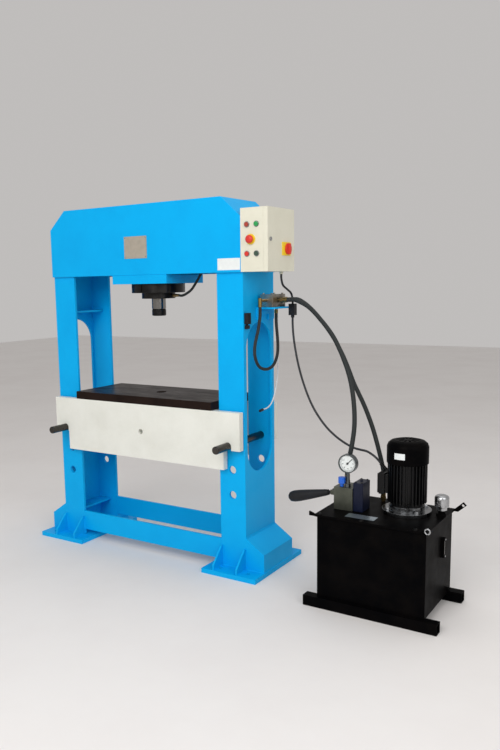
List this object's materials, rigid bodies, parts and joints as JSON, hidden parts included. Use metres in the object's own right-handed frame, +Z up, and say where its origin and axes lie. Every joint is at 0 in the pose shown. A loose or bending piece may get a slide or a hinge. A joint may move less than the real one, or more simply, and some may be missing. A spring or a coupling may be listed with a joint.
{
  "type": "hydraulic press",
  "caption": "Welded H-frame hydraulic shop press with pinned bed, vertical ram, wall-mounted control box and a hose-fed floor power pack.",
  "frame": {"origin": "on the floor, under the ram's axis, at the centre of the anchor holes", "axes": "+X to the operator's right towards the power pack, +Y to the rear, +Z up"},
  "size_m": [2.4765, 0.605, 1.95],
  "materials": {
    "painted_blue": "gloss",
    "bed_paint": "satin",
    "box_paint": "satin",
    "bright_steel": "polished",
    "oiled_steel": "oiled",
    "black_steel": "satin",
    "fitting_metal": "satin",
    "black_paint": "gloss",
    "valve_grey": "satin",
    "valve_navy": "satin",
    "black_plastic": "matte",
    "yellow_plastic": "satin",
    "red_plastic": "satin",
    "green_plastic": "satin",
    "dark_plastic": "satin",
    "blue_plastic": "satin",
    "white_lead": "matte",
    "hose_rubber": "matte"
  },
  "bodies": {
    "frame": {"left_column": "painted_blue", "right_column": "painted_blue", "frame_stiffeners": "painted_blue", "head_front_plate": "painted_blue", "head_rear_plate": "painted_blue", "head_cover": "painted_blue", "cylinder_seat": "painted_blue", "base_beams": "painted_blue", "feet": "painted_blue", "cylinder_barrel": "black_steel", "lock_ring": "black_steel", "gland_nut": "black_steel", "control_box": "box_paint", "button_bezels": "bright_steel", "manifold_bracket": "painted_blue", "manifold_block": "fitting_metal", "hose_fittings": "fitting_metal", "lead_connector": "black_plastic", "limit_switch": "black_paint", "skid_rails": "black_paint", "tank": "black_paint", "tank_lid": "black_paint", "motor_frame": "black_paint", "motor_flange": "bright_steel", "fan_cowl": "black_paint", "terminal_box": "black_paint", "pump": "black_steel", "valve_block": "valve_grey", "valve_body": "valve_navy", "gauge_case": "black_paint", "hose_a": "hose_rubber", "hose_b": "hose_rubber", "motor_lead": "hose_rubber", "loop_hose": "hose_rubber", "feed_hose": "hose_rubber", "box_lead": "hose_rubber", "signal_lead": "white_lead"},
    "ram": {"piston": "black_steel", "ram_rod": "bright_steel", "ram_nose": "black_steel"},
    "bed": {"bed_front_plate": "bed_paint", "bed_rear_plate": "bed_paint", "bed_ties": "bed_paint", "table_plate": "oiled_steel"},
    "pin_left": {"left_pin": "black_steel"},
    "pin_right": {"right_pin": "black_steel"},
    "door": {"box_door": "box_paint", "switch_plate": "yellow_plastic"},
    "lock": {"door_lock": "bright_steel"},
    "main_switch": {"switch_knob": "red_plastic"},
    "estop": {"estop_button": "red_plastic"},
    "start": {"start_button": "green_plastic"},
    "stop": {"stop_button": "red_plastic"},
    "up": {"up_button": "dark_plastic"},
    "down": {"down_button": "red_plastic"},
    "rotor": {"motor_rotor": "bright_steel"},
    "breather": {"breather_cap": "bright_steel"},
    "lever": {"valve_lever": "black_plastic"},
    "relief": {"relief_knob": "blue_plastic"},
    "needle": {"gauge_needle": "black_plastic"}
  },
  "joints": [
    {"name": "ram_stroke", "type": "slide", "parent": "frame", "child": "ram", "axis": [0, 0, -1], "range_m": [0, 0.25]},
    {"name": "bed_lift", "type": "slide", "parent": "frame", "child": "bed", "axis": [0, 0, 1], "range_m": [0, 0.135]},
    {"name": "left_pin_pull", "type": "slide", "parent": "frame", "child": "pin_left", "axis": [0, -1, 0], "range_m": [0, 0.42]},
    {"name": "right_pin_pull", "type": "slide", "parent": "frame", "child": "pin_right", "axis": [0, -1, 0], "range_m": [0, 0.42]},
    {"name": "door_swing", "type": "hinge", "parent": "frame", "child": "door", "pos_m": [0.7785, 0.106, 1.73], "axis": [0, 0, 1], "range_deg": [0, 110]},
    {"name": "lock_turn", "type": "hinge", "parent": "door", "child": "lock", "pos_m": [0.8035, -0.151, 1.731], "axis": [1, 0, 0], "range_deg": [0, 90]},
    {"name": "switch_turn", "type": "hinge", "parent": "door", "child": "main_switch", "pos_m": [0.8035, 0.021, 1.687], "axis": [1, 0, 0], "range_deg": [0, 90]},
    {"name": "estop_press", "type": "slide", "parent": "frame", "child": "estop", "axis": [0, 1, 0], "range_m": [0, 0.005], "stiffness_N_per_m": 600},
    {"name": "start_press", "type": "slide", "parent": "frame", "child": "start", "axis": [0, 1, 0], "range_m": [0, 0.004], "stiffness_N_per_m": 300},
    {"name": "stop_press", "type": "slide", "parent": "frame", "child": "stop", "axis": [0, 1, 0], "range_m": [0, 0.004], "stiffness_N_per_m": 300},
    {"name": "up_press", "type": "slide", "parent": "frame", "child": "up", "axis": [0, 1, 0], "range_m": [0, 0.004], "stiffness_N_per_m": 300},
    {"name": "down_press", "type": "slide", "parent": "frame", "child": "down", "axis": [0, 1, 0], "range_m": [0, 0.004], "stiffness_N_per_m": 300},
    {"name": "rotor_spin", "type": "hinge", "parent": "frame", "child": "rotor", "pos_m": [1.482, -0.085, 0.6], "axis": [0, 0, 1], "continuous": true},
    {"name": "breather_turn", "type": "hinge", "parent": "frame", "child": "breather", "pos_m": [1.637, -0.06, 0.48], "axis": [0, 0, 1], "range_deg": [0, 90]},
    {"name": "lever_swing", "type": "hinge", "parent": "frame", "child": "lever", "pos_m": [1.146, -0.16, 0.52], "axis": [0, 1, 0], "range_deg": [-15, 20]},
    {"name": "relief_turn", "type": "hinge", "parent": "frame", "child": "relief", "pos_m": [1.2, -0.1855, 0.58], "axis": [0, 0, 1], "range_deg": [0, 330]},
    {"name": "needle_sweep", "type": "hinge", "parent": "frame", "child": "needle", "pos_m": [1.233, -0.1895, 0.676], "axis": [0, 1, 0], "range_deg": [0, 260]}
  ]
}
